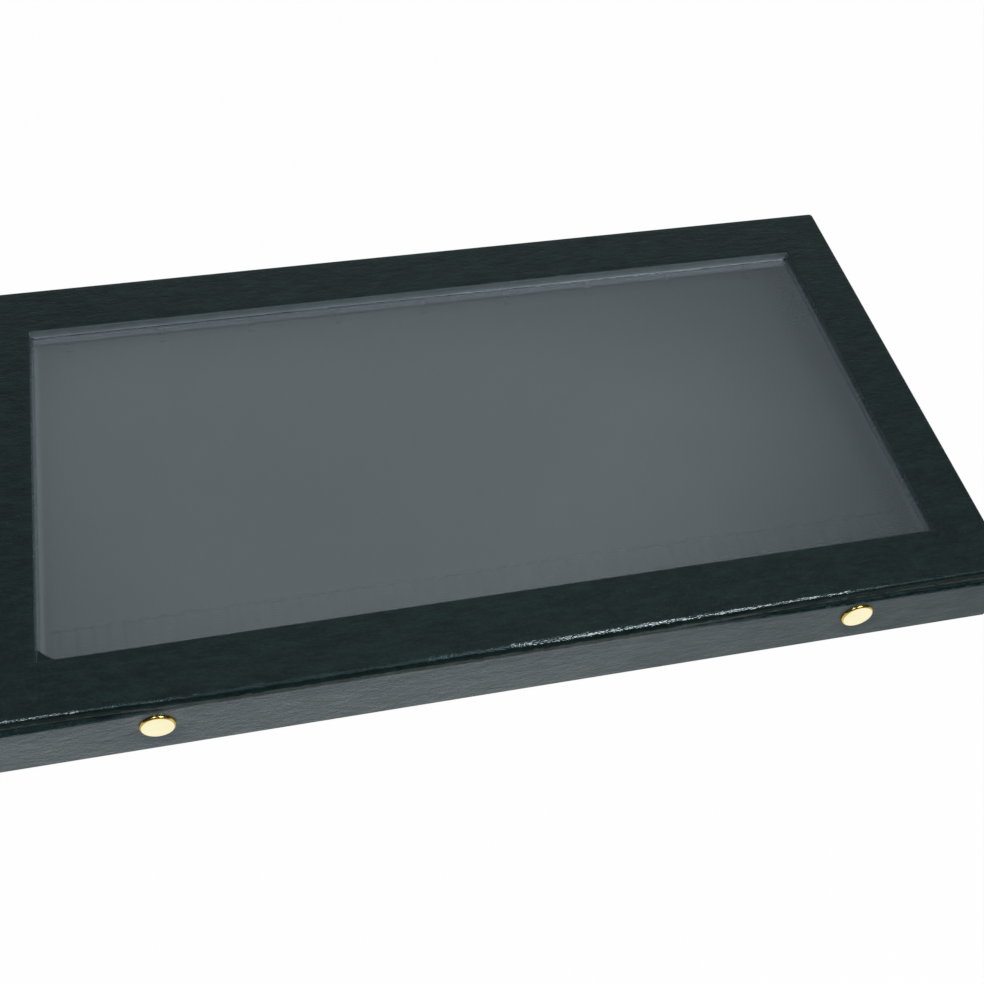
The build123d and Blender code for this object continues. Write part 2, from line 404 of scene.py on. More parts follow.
def leatherette(name, dark, light, roughness, gloss, grain=1.0, shade=None, roughen_and_shade_along_x=None, tint=PLAIN_TINT):
    """Black leatherette: soft ripples drawn out along the box, over small pebbles and pores.
    One optional range of heights darkens its colour, a painted shade; another, of places along X, roughens it
    and darkens its colour, also a painted shade."""
    n = material_nodes(name)
    along = n.rest((0.3, 1.0, 1.0))
    warp = n.add("ShaderNodeTexNoise", {"Vector": along, "Scale": 260.0, "Detail": 2.0}).outputs["Color"]
    bent = n.add("ShaderNodeVectorMath", {0: warp, 1: (0.003, 0.003, 0.003)}, operation="MULTIPLY").outputs[0]
    place = n.add("ShaderNodeVectorMath", {0: along, 1: bent}, operation="ADD").outputs[0]
    ripples = n.noise(place, 520.0, 3.0, 0.6)
    folds = n.noise(n.rest((0.45, 1.0, 1.0)), 210.0, 2.0, 0.5, 0.6)
    pebble_place = n.rest((0.6, 1.0, 1.0))
    pebbles = n.cells(pebble_place, 820.0, "SMOOTH_F1")
    crease = n.ramp(n.cells(pebble_place, 820.0, "DISTANCE_TO_EDGE"), 0.0, 0.18)
    pores = n.noise(n.rest(), 3000.0, 2.0)
    waves = n.noise(n.rest(), 38.0, 2.0)
    height = n.weigh((crease, 0.22), (pebbles, -0.25), (ripples, 1.5), (folds, 1.6), (pores, 0.06))
    normal = n.bump(height, 0.00016 * grain)
    normal = n.bump(waves, 0.0009, 0.5, normal)
    raised = n.ramp(n.weigh((ripples, 0.6), (folds, 0.4)), 0.36, 0.64)
    tone = n.weigh((raised, 0.75), (crease, 0.25), clamp=True)
    shine = n.ramp(n.noise(n.rest(), 60.0, 4.0), 0.3, 0.7, roughness - 0.04, roughness + 0.04)
    # Rougher and darker along X: the darkening is painted shade.
    if roughen_and_shade_along_x:
        start, end, duller = roughen_and_shade_along_x
        towards_end = n.ramp(n.axis(n.rest(), "X"), start * MM, end * MM)
        shine = n.math("ADD", shine, n.ramp(towards_end, 0, 1, 0.0, duller))
        tone = n.math("MULTIPLY", tone, n.ramp(towards_end, 0, 1, 1.0, 0.4))
    # Darker towards one height: painted shade.
    if shade:
        shaded = n.ramp(n.axis(n.rest(), "Z"), shade[0] * MM, shade[1] * MM)
        tone = n.math("MULTIPLY", shaded, n.ramp(tone, 0, 1, 0.75, 1.0))
    return n.surface({
        "Base Color": n.blend(tone, dark, light),
        "Roughness": n.math("ADD", shine, n.math("MULTIPLY", raised, -0.05)),
        "Specular IOR Level": gloss,
        "Specular Tint": (*tint, 1),
        "Normal": normal,
    })


def velvet(name, dark, light, sheen):
    """Black velvet: a fine pile that lies in slow brushed patches."""
    n = material_nodes(name)
    nap = n.noise(n.rest((1.0, 0.6, 1.0)), 26.0, 3.0, 0.6, 1.2)
    pile = n.noise(n.rest(), 2600.0, 3.0, 0.6)
    tufts = n.cells(n.rest(), 2400.0)
    height = n.weigh((pile, 0.7), (tufts, -0.15))
    tone = n.weigh((nap, 0.75), (pile, 0.35), clamp=True)
    return n.surface({
        "Base Color": n.blend(tone, dark, light),
        "Roughness": 0.95,
        "Specular IOR Level": 0.04,
        "Sheen Weight": sheen,
        "Sheen Roughness": 0.35,
        "Sheen Tint": (0.55, 0.6, 0.62, 1),
        "Normal": n.bump(height, 0.00005, 0.4),
    })


def metal(name, colour, deep, roughness, streaks):
    """Metal with faint turned marks, fingerprints and slightly deeper colour in patches."""
    n = material_nodes(name)
    wear = n.noise(n.place(), 260.0, 4.0, 0.6)
    marks = n.noise(n.place((1.0, 0.2, 6.0)), 900.0, 3.0)
    smear = n.noise(n.place(), 90.0, 3.0)
    return n.surface({
        "Base Color": n.blend(n.ramp(wear, 0.35, 0.75), colour, deep),
        "Metallic": 1.0,
        "Roughness": n.ramp(smear, 0.3, 0.75, roughness, roughness + 0.1),
        "Normal": n.bump(marks, 0.00002 * streaks, 0.6),
    })


def coated_metal(name, colour, shade, roughness):
    """Wire or strip with a thin dull black coat."""
    n = material_nodes(name)
    skin = n.noise(n.place(), 1200.0, 3.0)
    worn = n.noise(n.place(), 300.0, 4.0)
    return n.surface({
        "Base Color": n.blend(n.ramp(worn, 0.4, 0.7), colour, shade),
        "Specular IOR Level": 0.15,
        "Roughness": n.ramp(skin, 0.2, 0.8, roughness - 0.1, roughness + 0.1),
        "Normal": n.bump(skin, 0.00006, 0.5),
    })


def wood(name, pale, deep):
    """Planed softwood with long grain."""
    n = material_nodes(name)
    grain = n.noise(n.place((0.12, 1.0, 1.0)), 420.0, 5.0, 0.6, 0.8)
    bands = n.noise(n.place((0.05, 1.0, 1.0)), 90.0, 2.0, 0.5, 2.0)
    tone = n.weigh((grain, 0.5), (bands, 0.5), clamp=True)
    return n.surface({
        "Base Color": n.blend(n.ramp(tone, 0.3, 0.7), pale, deep),
        "Roughness": n.ramp(grain, 0.2, 0.8, 0.55, 0.75),
        "Normal": n.bump(grain, 0.00015, 0.6),
    })


def fibre(name, pale, deep, scale):
    """Pressed board, paper or foam: a fine mottled surface."""
    n = material_nodes(name)
    fine = n.noise(n.place(), scale, 5.0, 0.7)
    flecks = n.cells(n.place(), scale * 0.6)
    tone = n.weigh((fine, 0.7), (flecks, 0.4), clamp=True)
    return n.surface({
        "Base Color": n.blend(n.ramp(tone, 0.3, 0.8), pale, deep),
        "Roughness": n.ramp(fine, 0.2, 0.8, 0.75, 0.95),
        "Normal": n.bump(fine, 0.0002, 0.6),
    })


def elastic_cloth(name, dark, light):
    """Ribbed black elastic, its ribs across the pouch."""
    n = material_nodes(name)
    ribs = n.add(
        "ShaderNodeTexWave",
        {"Vector": n.rest(), "Scale": 260.0, "Distortion": 0.8, "Detail": 1.0},
        wave_type="BANDS",
        bands_direction="Y",
    ).outputs["Fac"]
    weave = n.noise(n.rest(), 2400.0, 3.0, 0.7)
    height = n.weigh((ribs, 0.6), (weave, 0.5))
    return n.surface({
        "Base Color": n.blend(height, dark, light),
        "Roughness": 0.85,
        "Specular IOR Level": 0.05,
        "Sheen Weight": 0.02,
        "Normal": n.bump(height, 0.0002, 0.8),
    })


# Extra film near the window's edges: partly dust, partly painted light.
GATHERED_DUST_AND_PAINTED_LIGHT = 0.07
DUST_AND_LIGHT_AT_SIDES = (3.4, 1.4)
DUST_AND_LIGHT_AT_BACK = (4.2, 2.6)


def window_glass(name, film, share):
    """Clear glass with a faint film of dust, open to light on its way to the velvet.
    The film thickens between each pair of distances from the window's edge: partly collected dust, partly
    painted light over the glass's darker reflection of the window's walls."""
    n = material_nodes(name)
    dust = n.noise(n.place(), 9.0, 3.0, 0.5)
    specks = n.ramp(n.cells(n.place(), 240.0), 0.02, 0.06, 1.0, 0.0)
    rare = n.ramp(n.noise(n.place(), 60.0, 1.0), 0.66, 0.7)
    lit = n.math("MULTIPLY", specks, rare)
    clear = n.add(
        "ShaderNodeBsdfPrincipled",
        {"Base Color": (0.94, 0.98, 0.97, 1), "Roughness": 0.0, "IOR": 1.5, "Transmission Weight": 1.0},
    )
    haze = n.add("ShaderNodeBsdfDiffuse", {"Color": (*film, 1)})
    start, end = ((WINDOW[2] - d) * MM for d in DUST_AND_LIGHT_AT_SIDES)
    at_side = n.ramp(n.math("ABSOLUTE", n.axis(n.place(), "X")), start, end, 0.0, 0.45)
    start, end = ((WINDOW[3] - d) * MM for d in DUST_AND_LIGHT_AT_BACK)
    at_back = n.ramp(n.axis(n.place(), "Y"), start, end)
    # Thicker film near the back and sides: partly dust, partly painted light.
    dust_and_light_at_edges = n.math("MULTIPLY", n.math("MAXIMUM", at_side, at_back), GATHERED_DUST_AND_PAINTED_LIGHT)
    amount = n.ramp(dust, 0.3, 0.7, share * 0.94, share * 1.06)
    amount = n.math("ADD", amount, n.math("MULTIPLY", lit, 0.1), clamp=True)
    dusty = n.mix_shader(n.math("ADD", amount, dust_and_light_at_edges), clear, haze)
    through = n.add("ShaderNodeBsdfTransparent", {"Color": (0.9, 0.94, 0.93, 1)})
    in_shadow = n.add("ShaderNodeLightPath").outputs["Is Shadow Ray"]
    return n.output(n.mix_shader(in_shadow, dusty, through))


LEATHER = ((0.0022, 0.0056, 0.0052), (0.0098, 0.0208, 0.0194))
# Lighter copies of the leatherette for the soft strip under the fold: painted light.
PAINTED_LIGHT_STRIP_LEATHER = (LEATHER[0], (0.0125, 0.034, 0.033))
WORN_LEATHER = ((0.001, 0.003, 0.0035), (0.017, 0.03, 0.036))
PAINTED_LIGHT_HALF_LEATHER = (WORN_LEATHER[0], (0.014, 0.033, 0.034))
# Lighter copies of the leatherette for the window's back wall and sides: painted light.
PAINTED_LIGHT_EDGE_LEATHER = ((0.02, 0.03, 0.033), (0.165, 0.2, 0.222))
PAINTED_LIGHT_SIDE_LEATHER = ((0.012, 0.02, 0.021), (0.1, 0.126, 0.142))
WORN_TINT = (0.67, 0.92, 1.0)
DULL_TINT = (0.5, 0.9, 0.95)
# Places along X over which the polished flap roughens and darkens: the darkening is painted shade.
POLISHED_ROUGHEN_AND_SHADE = (-20, 170, 0.28)
# Heights between which the walls darken towards the lid's top: painted shade.
EDGE_SHADE = (LID_TOP + 5, GLASS_TOP)
SIDE_SHADE = (LID_TOP + 1, GLASS_TOP)

# The skin's finishes, by number. The low-gloss copy of the black leatherette paints shade; the strip and half
# copies are lighter and paint light; the edge and side copies are lighter, painted light, and darken towards
# the lid's top as painted shade.
BLACK, POLISHED, EDGE, DULL, STRIP, HALF, FOLD, SIDE = range(8)
skin_leathers = [
    leatherette("leatherette_black", *LEATHER, 0.42, 0.32),
    leatherette("leatherette_polished", *WORN_LEATHER, 0.3, 0.78, 1.2, roughen_and_shade_along_x=POLISHED_ROUGHEN_AND_SHADE, tint=WORN_TINT),
    leatherette("leatherette_edge_painted_light", *PAINTED_LIGHT_EDGE_LEATHER, 0.45, 0.3, 0.4, shade=EDGE_SHADE),
    leatherette("leatherette_dull_painted_shade", *LEATHER, 0.5, 0.06, tint=DULL_TINT),
    leatherette("leatherette_strip_painted_light", *PAINTED_LIGHT_STRIP_LEATHER, 0.45, 0.2),
    leatherette("leatherette_half_painted_light", *PAINTED_LIGHT_HALF_LEATHER, 0.36, 0.34, 1.2, tint=WORN_TINT),
    leatherette("leatherette_fold", *WORN_LEATHER, 0.24, 0.95, 1.3),
    leatherette("leatherette_side_painted_light", *PAINTED_LIGHT_SIDE_LEATHER, 0.28, 0.7, 0.4, shade=SIDE_SHADE),
]
black_leather = skin_leathers[BLACK]
black_velvet = velvet("velvet_black", (0.006, 0.0066, 0.007), (0.016, 0.017, 0.018), 0.06)
pad_velvet = velvet("velvet_pad", (0.0075, 0.0082, 0.0088), (0.018, 0.0192, 0.0205), 0.07)
black_elastic = elastic_cloth("elastic_black", (0.007, 0.0076, 0.0082), (0.014, 0.015, 0.016))
cap_brass = metal("brass_polished", (0.985, 0.93, 0.63), (0.96, 0.87, 0.54), 0.07, 0.3)
# A darker copy of the caps' brass for their rims: painted shade.
rim_brass_painted_shade = metal("brass_rim_painted_shade", (0.66, 0.46, 0.12), (0.42, 0.27, 0.06), 0.14, 0.3)
plain_brass = metal("brass_plain", (0.86, 0.68, 0.36), (0.7, 0.5, 0.22), 0.22, 1.0)
spring_steel = metal("spring_steel", (0.62, 0.62, 0.6), (0.45, 0.44, 0.42), 0.25, 1.0)
hook_black = coated_metal("hook_black", (0.004, 0.004, 0.0045), (0.01, 0.01, 0.011), 0.6)
frame_wood = wood("frame_wood", (0.55, 0.38, 0.22), (0.36, 0.22, 0.11))
grey_board = fibre("grey_board", (0.33, 0.3, 0.26), (0.2, 0.18, 0.15), 700.0)
base_paper = fibre("base_paper", (0.012, 0.014, 0.014), (0.022, 0.025, 0.025), 900.0)
clear_glass = window_glass("window_glass", (0.72, 0.84, 0.94), 0.028)


# Lid and flap skin

LID_EDGE_RADIUS = 1.2
FOLD_RADIUS = (2.4, 1.2)
FOLD_START = (0.55, 1.0)
FOLD_LIT_ANGLE = 42
FLAP_PROUD = -1.36
GROOVE_INSET = 0.3
GROOVE_LIP = ((0.02, -0.1), (0.25, 0.1), (0.8, 0.3), (1.0, 0.55))
SECTION_END = 9.9
ROWS_LIT = 3
ROWS_BAND = 15
ROWS_BELOW = 8
ROWS_FACE = 22
# Finishes along the fold: glossier leather in its middle, lighter copies elsewhere as a painted highlight.
# Down the soft strip, a low-gloss copy paints shade and lighter copies paint light.
FOLD_WEAR_AND_PAINTED_HIGHLIGHT = ((FOLD, (-14, 118), -158), (HALF, (-42, 136), -118))
BANDS_LEFT = ((DULL, 5), (STRIP, 10))
BANDS_RIGHT = ((DULL, 5.5), (STRIP, 11.5), (DULL, 13))
BANDS_RIGHT_FROM = 88
FACE_OUT = -0.62
EDGE_RADIUS = 0.45
FLAP_DROP = 0.35
TURN_IN = 5.0
CAP_DIMPLE = 0.6
CAP_DIMPLE_REACH = 12.5


def sunk(x):
    """How far the soft strip between lid and flap sinks at x: least left of the middle, most at the ends."""
    left = smoothstep(-98, -178, x)
    right = smoothstep(20, 150, x)
    return min(1.0, 0.02 + max(left, right) + 0.09 * noise.noise(Vector((x / 34, 0.5, 2.1))))


def band_foot(x):
    """How far below the lid's top the soft strip, in finishes that paint its shade and light, ends and the
    flap's polished face begins.
    """
    left = min(max((-97 - x) / 88, 0), 1) ** 0.75
    right = min(max((x - 20) / 150, 0), 1) ** 1.5
    return 5.9 + 0.5 * left + 1.3 * right + 0.16 * noise.noise(Vector((x / 16, 3.1, 0.4)))


def front_section(x):
    """The front's section at x, over the fold and down to the flap's face: insets and drops in rows."""
    s = sunk(x)
    foot = band_foot(x)
    radius = FOLD_RADIUS[0] * (1 - s) + FOLD_RADIUS[1] * s
    first = FOLD_START[0] * (1 - s) + FOLD_START[1] * s
    out = first - radius
    path = [(first - along, drop) for along, drop in arc(radius, range(0, 91, 6))]
    lip = max(radius + 0.15, foot - 2.5)
    dip = (GROOVE_INSET - out) * smoothstep(0.1, 0.9, s)
    low = max(foot, lip + 1.2)
    path += [(out + share * dip, lip + drop) for share, drop in GROOVE_LIP]
    ledge = path[-1]
    for t in spread(0, 1, 8)[1:]:
        swell = 0.16 * math.sin(math.pi * t)
        inset = ledge[0] + (FLAP_PROUD - ledge[0]) * t - swell
        path.append((inset, ledge[1] + (low - ledge[1]) * t - swell * 0.6))
    path.append((FLAP_PROUD, SECTION_END))
    insets, drops = zip(*path)
    lengths = np.cumsum([0.0] + [math.dist(a, b) for a, b in zip(path, path[1:])]).tolist()
    lit = radius * math.radians(FOLD_LIT_ANGLE)
    band_end = max(float(np.interp(foot, drops, lengths)), lit + 0.3)
    marks = spread(0, lit, ROWS_LIT)[:-1] + spread(lit, band_end, ROWS_BAND)[:-1]
    marks += spread(band_end, lengths[-1], ROWS_BELOW)
    return list(zip(np.interp(marks, lengths, insets).tolist(), np.interp(marks, lengths, drops).tolist()))


def cap_dip(x, z):
    """How far the flap's skin is pressed in round the caps."""
    away = math.hypot(abs(x) - CAP_X, z - CAP_Z)
    return CAP_DIMPLE * (1 - smoothstep(5.5, CAP_DIMPLE_REACH, away))


def window_rings():
    """Insets from the window's edge and heights, from the glass up to the lid's top."""
    over_glass = ((-0.9, 0.06), (-0.42, 0.16), (-0.12, 0.5), (0.0, 1.1))
    under_top = ((0.0, 1.4), (0.04, 0.62), (0.16, 0.28), (0.42, 0.07), (0.9, 0.0))
    return [(i, GLASS_TOP + d) for i, d in over_glass] + [(i, LID_TOP - d) for i, d in under_top]


def side_rings():
    """Insets from the lid's outline and drops from its top, over the fold and down the ends and back."""
    r = LID_EDGE_RADIUS
    over = [(r - along, drop) for along, drop in arc(r, range(0, 90, 18))]
    return over + [(0.0, drop) for drop in spread(r, LID_TOP - LID_BASE, ROWS_LIT + ROWS_BAND - len(over))]


def lid_skin_rings():
    """All rings of the lid's skin, as lists of points, from the glass to the lid's base."""
    rings = [
        [(x, y, z) for x, y, _ in loop_points(grow(WINDOW, inset), max(0.2, 0.2 + inset))]
        for inset, z in window_rings()
    ]
    outer = []
    for k, (inset, drop) in enumerate(side_rings()):
        ring = []
        for x, y, side in loop_points(grow(OUTLINE, -inset), 1.4 if inset < 1 else 1.4 + inset / 2):
            z = LID_TOP - drop
            if side == 0:
                near_end = smoothstep(OUTLINE[2] - 7, OUTLINE[2] - 1, abs(x))
                y_front, d_front = front_section(x)[k]
                ragged = wander((x, 0, d_front), 5, 0.07) * (1 - near_end)
                y = (FRONT + y_front + ragged) * (1 - near_end) + y * near_end
                z = LID_TOP - (d_front * (1 - near_end) + drop * near_end)
            ring.append((x, y, z))
        outer.append(ring)
    across = []
    for t in spread(0, 1, 9)[1:-1]:
        ring = []
        for a, b in zip(rings[-1], outer[0]):
            p = [i + (j - i) * t for i, j in zip(a, b)]
            p[2] += wander(p, 42, 0.05) + wander(p, 15, 0.025) - 0.04
            ring.append(p)
        across.append(ring)
    return rings + across + outer


def flap_rows(front):
    """Rows of the flap's face below the lid's front base line, down to the start of its bottom fold."""
    rows = []
    for k in range(1, ROWS_BELOW + 1):
        row = []
        for x, _, _ in front:
            depth, drop = front_section(x)[ROWS_LIT + ROWS_BAND + k]
            y_row = FRONT + depth + wander((x, 0, drop), 9, 0.05) + cap_dip(x, LID_TOP - drop)
            row.append((x, y_row, LID_TOP - drop))
        rows.append(row)
    foot = LID_TOP - FLAP_FOOT - EDGE_RADIUS + FLAP_DROP
    drops, outs = spread(SECTION_END, foot, ROWS_FACE), spread(FLAP_PROUD, FACE_OUT, ROWS_FACE)
    for drop, out in zip(drops[1:], outs[1:]):
        row = []
        for x, _, _ in front:
            wave = wander((x, 0, drop), 55, 0.09) + wander((x, 0, drop), 16, 0.035)
            wave *= 1 - smoothstep(foot - 2, foot, drop)
            row.append((x, FRONT + out + wave + cap_dip(x, LID_TOP - drop), LID_TOP - drop))
        rows.append(row)
    return rows


def flap_edge_paths(rows):
    """The flap's face edge from its top left, down, along the foot and up the right, folded to the back."""
    first = next(k for k, row in enumerate(rows) if row[0][2] < FLAP_TOP - 0.4)
    last_row, last_column = len(rows) - 1, len(rows[0]) - 1
    left = [(r, 0) for r in range(first, last_row + 1)]
    right = [(r, last_column) for r in range(last_row, first - 1, -1)]
    path = left + [(last_row, c) for c in range(1, last_column)] + right
    back = FLAP_IN - 0.05
    r = EDGE_RADIUS
    folds = [("face", out, deep) for out, deep in arc(r, (25, 50, 75, 90))]
    turned = ((r, r), (r * 0.75, r * 0.28), (r * 0.3, 0.04), (-TURN_IN / 2, 0), (-TURN_IN, 0))
    folds += [("back", out, deep) for out, deep in turned]
    loops = []
    x_left, x_right = rows[last_row][0][0], rows[last_row][last_column][0]
    z_foot = rows[last_row][0][2]
    for start, out, deep in folds:
        loop = []
        for row, column in path:
            x, y, z = rows[row][column]
            side = -1 if column == 0 else 1 if column == last_column else 0
            down = 1 if row == last_row else 0
            x, y, z = x + side * out, y + deep if start == "face" else back - deep, z - down * out
            if out < 0:
                x, z = min(max(x, x_left - out), x_right + out), max(z, z_foot - out)
            loop.append((x, y, z))
        loops.append(loop)
    return path, loops


def front_finish(row, x):
    """The finish of a face on the front, by its row and place. The fold's middle and the flap's face are
    polished by handling, so glossier; elsewhere on the fold a lighter copy paints a highlight, and down the
    soft strip a low-gloss copy paints shade and lighter copies paint light towards the flap."""
    if row < ROWS_LIT:
        place = x + 16 * noise.noise(Vector((x / 5, 7.3, 0.2)))
        for finish, (start, end), left_end in FOLD_WEAR_AND_PAINTED_HIGHLIGHT:
            if start < place < end or place < left_end:
                return finish
        # Elsewhere on the fold: a lighter copy, a painted highlight.
        return STRIP
    step = row - ROWS_LIT + 2.2 * noise.noise(Vector((x / 4, 1.1, 4.2)))
    if step >= ROWS_BAND - 0.5:
        return POLISHED
    bands = BANDS_RIGHT if x > BANDS_RIGHT_FROM else BANDS_LEFT
    return next((finish for finish, end in bands if step < end), HALF)


def finish_window_edge(skin):
    """Gives the leatherette turned down round the window its own finishes: a glossy foot at the back, and on
    the walls lighter copies of the leatherette, painted light, that darken towards the lid's top as painted
    shade.
    """
    x0, y0, x1, y1 = grow(WINDOW, 1)
    for face in skin.data.polygons:
        x, y, z = face.center / MM
        if not (x0 < x < x1 and y0 < y < y1):
            continue
        at_back = y > WINDOW[3] - 1
        if z < GLASS_TOP + 0.3 and at_back:
            face.material_index = FOLD
        elif z < LID_TOP - 0.3:
            # The walls: lighter leatherette as painted light, darker towards the lid's top as painted shade.
            face.material_index = EDGE if at_back else SIDE


def make_lid_and_flap_skin():
    """One leatherette skin over the lid, down its front edge and over the flap."""
    rings = lid_skin_rings()
    count = len(rings[0])
    verts = [p for ring in rings for p in ring]
    faces = ring_faces(len(rings), count)
    finishes = [BLACK] * len(faces)
    fold_ring = len(rings) - (ROWS_LIT + ROWS_BAND + 1)
    for row in range(ROWS_LIT + ROWS_BAND):
        for k in range(STEPS_LONG):
            number = (fold_ring + row) * count + k
            finishes[number] = front_finish(row, verts[number][0])
    start = (len(rings) - 1) * count
    front_ids = [start + k for k in range(STEPS_LONG + 1)]
    front = [verts[i] for i in front_ids]
    rows = flap_rows(front)
    ids = [front_ids]

    def add_row(row):
        ids.append(list(range(len(verts), len(verts) + len(row))))
        verts.extend(row)
        faces.extend(strip_faces(*ids[-2:]))

    for row in rows:
        add_row(row)
    path, loops = flap_edge_paths(rows)
    ids.append([ids[r + 1][c] for r, c in path])
    for loop in loops:
        add_row(loop)
    finishes += [POLISHED] * (len(faces) - len(finishes))
    skin = build("lid_flap_skin", verts, [f[::-1] for f in faces])
    skin.data.attributes.new("finish", "INT", "FACE").data.foreach_set("value", finishes)
    thicken(skin, SKIN)
    finishes = [item.value for item in skin.data.attributes["finish"].data]
    finish_piece(skin, black_leather, replaces=["lid_cover", "flap_hinge", "flap_cover"])
    for leather in skin_leathers[1:]:
        skin.data.materials.append(leather)
    skin.data.polygons.foreach_set("material_index", finishes)
    finish_window_edge(skin)
    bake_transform(skin)


make_lid_and_flap_skin()


def make_corner_tab(name, corner, reach, turn):
    """The small triangle of leatherette that shows at a window corner, where the turned edge is slit."""
    x, y = corner
    dx, dy = turn
    z = GLASS_TOP
    steps = 6
    verts, faces = [], []
    for layer in (0.34, 0.04):
        for k in range(steps + 1):
            t = k / steps
            sag = 0.12 * math.sin(math.pi * t) * reach
            right, back = reach * (1 - t) - sag * 0.5, reach * t * 0.72 - sag * 0.5
            verts.append((x + dx * right, y + dy * back, z + layer * (0.4 + 0.6 * t)))
        verts.append((x - dx * 0.4, y - dy * 0.4, z + layer + 0.25))
    n = steps + 1
    for k in range(steps):
        faces.append((k, k + 1, n))
        faces.append((n + 1 + k + 1, n + 1 + k, 2 * n + 1))
        faces.append((k + 1, k, n + 1 + k, n + 2 + k))
    faces.append((0, n, 2 * n + 1, n + 1))
    faces.append((n, steps, 2 * n, 2 * n + 1))
    tab = build(name, verts, faces, smooth=False)
    face_outwards(tab)
    finish_piece(tab, black_leather, body="lid")


WINDOW_CORNERS = {
    "front_left": (10.0, 1, 1),
    "front_right": (2.2, -1, 1),
    "back_right": (2.6, -1, -1),
    "back_left": (2.0, 1, -1),
}
for place, (reach, right, back) in WINDOW_CORNERS.items():
    make_corner_tab(f"window_tab_{place}", (WINDOW[1 - right], WINDOW[2 - back]), reach, (right, back))


# Spine


def make_spine():
    """The leatherette strip up the back, creased where the lid turns."""
    x0, x1 = spine_low[0], spine_high[0]
    z0, z1 = spine_low[2], spine_high[2]
    out, inner = spine_high[1], spine_low[1]
    crease = LID_BASE
    near_crease = (0.2, 0.45, 0.75, 1.1, 1.5, 2.0)
    heights = [z0, z0 + 0.15] + spread(z0 + 0.5, crease - 2.6, 12)
    heights += [crease - d for d in reversed(near_crease)] + [crease] + [crease + d for d in near_crease]
    heights += [crease + 2.6, z1 - 1.4, z1 - 0.5, z1 - 0.15, z1]
    columns = 170
    verts = []
    for row, z in enumerate(heights):
        edge = min(row, len(heights) - 1 - row)
        round_off = (0.42, 0.16, 0.03)[edge] if edge < 3 else 0.0
        dip = 0.5 * math.exp(-(((z - crease) / 0.55) ** 2))
        dip -= 0.1 * math.exp(-(((abs(z - crease) - 1.4) / 0.6) ** 2))
        for c, x in enumerate(spread(x0, x1, columns)):
            soft = 0.4 if c in (0, columns) else 0.0
            wave = wander((x, 0, z), 48, 0.07) + wander((x, 0, z), 11, 0.03)
            verts.append((x, out - round_off - soft * 0.6 - dip * (1 - soft) + wave - 0.06, z))
    verts += [(x, inner + 0.02, z) for z in heights for x in spread(x0, x1, columns)]
    rows, n = len(heights), columns + 1
    faces = grid_faces(0, rows, n, flip=True) + grid_faces(rows * n, rows, n)
    right = [r * n + columns for r in range(1, rows)]
    left = [r * n for r in range(rows - 2, -1, -1)]
    border = list(range(n)) + right + [(rows - 1) * n + c for c in range(columns - 1, -1, -1)] + left
    faces += strip_faces(border, [i + rows * n for i in border])
    spine = build("hinge_spine_skin", verts, faces)
    face_outwards(spine)
    finish_piece(spine, black_leather, replaces=["hinge_spine"])
    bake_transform(spine)


make_spine()


# Tray

TRAY = plan(tray_low, tray_high)
WALL = 7.6


def make_tray_skin():
    """Leatherette up the walls, over the rim and turned in."""
    top, foot = tray_high[2], tray_low[2]
    inner_foot = lining_high[2]
    r = 0.6
    profile = [(0.5, foot - 0.02), (0.12, foot + 0.05)]
    profile += [(0.0, z) for z in spread(foot + 0.35, top - r, 14)]
    profile += [(inset, top - r + rise) for rise, inset in arc(r, (25, 50, 75, 90))]
    profile += [(inset, top) for inset in (2.2, 3.8, 5.4)]
    profile += [(WALL - r + along, top - drop) for along, drop in arc(r, (0, 30, 60, 90))]
    profile += [(WALL, z) for z in (top - 2.2, top - 4.2, inner_foot + 0.3)]
    profile.append((WALL - 0.25, inner_foot - 0.3))
    verts = []
    for inset, z in profile:
        for x, y, side in loop_points(grow(TRAY, -inset), max(1.0 - inset * 0.1, 0.5)):
            wave = wander((x, y, z), 50, 0.05) + wander((x, y, z), 14, 0.025)
            verts.append((x, y + (wave if side in (0, 2) else 0), z if inset < 1 else z + wave - 0.05))
    skin = build("tray_skin", verts, ring_faces(len(profile), len(verts) // len(profile)))
    thicken(skin, SKIN)
    finish_piece(skin, black_leather, body="tray", replaces=["tray_cover"])


make_tray_skin()


def wavy_rings(profile, radius, size, amount):
    """Points round each of a profile's bounds, at its height, with waves of that size and amount."""
    verts = []
    for bounds, z in profile:
        for x, y, _ in loop_points(bounds, radius):
            verts.append((x, y, z + wander((x, y, z), size, amount)))
    return verts


def make_tray_lining():
    """Velvet round the inside of the walls, from the turned-in edge to the floor."""
    outer = plan(lining_low, lining_high)
    top, floor = lining_high[2], lining_low[2]
    profile = [(CLOTH * 0.15, top - 0.05), (CLOTH * 0.6, top + 0.05), (CLOTH, top - 0.2), (CLOTH, top - 2.5)]
    profile += [(CLOTH, floor + 3.5), (CLOTH, floor + 1.4), (CLOTH + 0.35, floor + 0.75)]
    profile += [(CLOTH + 1.2, floor + CLOTH), (CLOTH + 9, floor + CLOTH)]
    verts = wavy_rings([(grow(outer, -inset), z) for inset, z in profile], 0.6, 12, 0.04)
    lining = build("tray_lining_velvet", verts, ring_faces(len(profile), len(verts) // len(profile)))
    thicken(lining, CLOTH * 0.8)
    finish_piece(lining, black_velvet, body="tray", replaces=["tray_lining"])


make_tray_lining()


# Linings of the lid and the flap


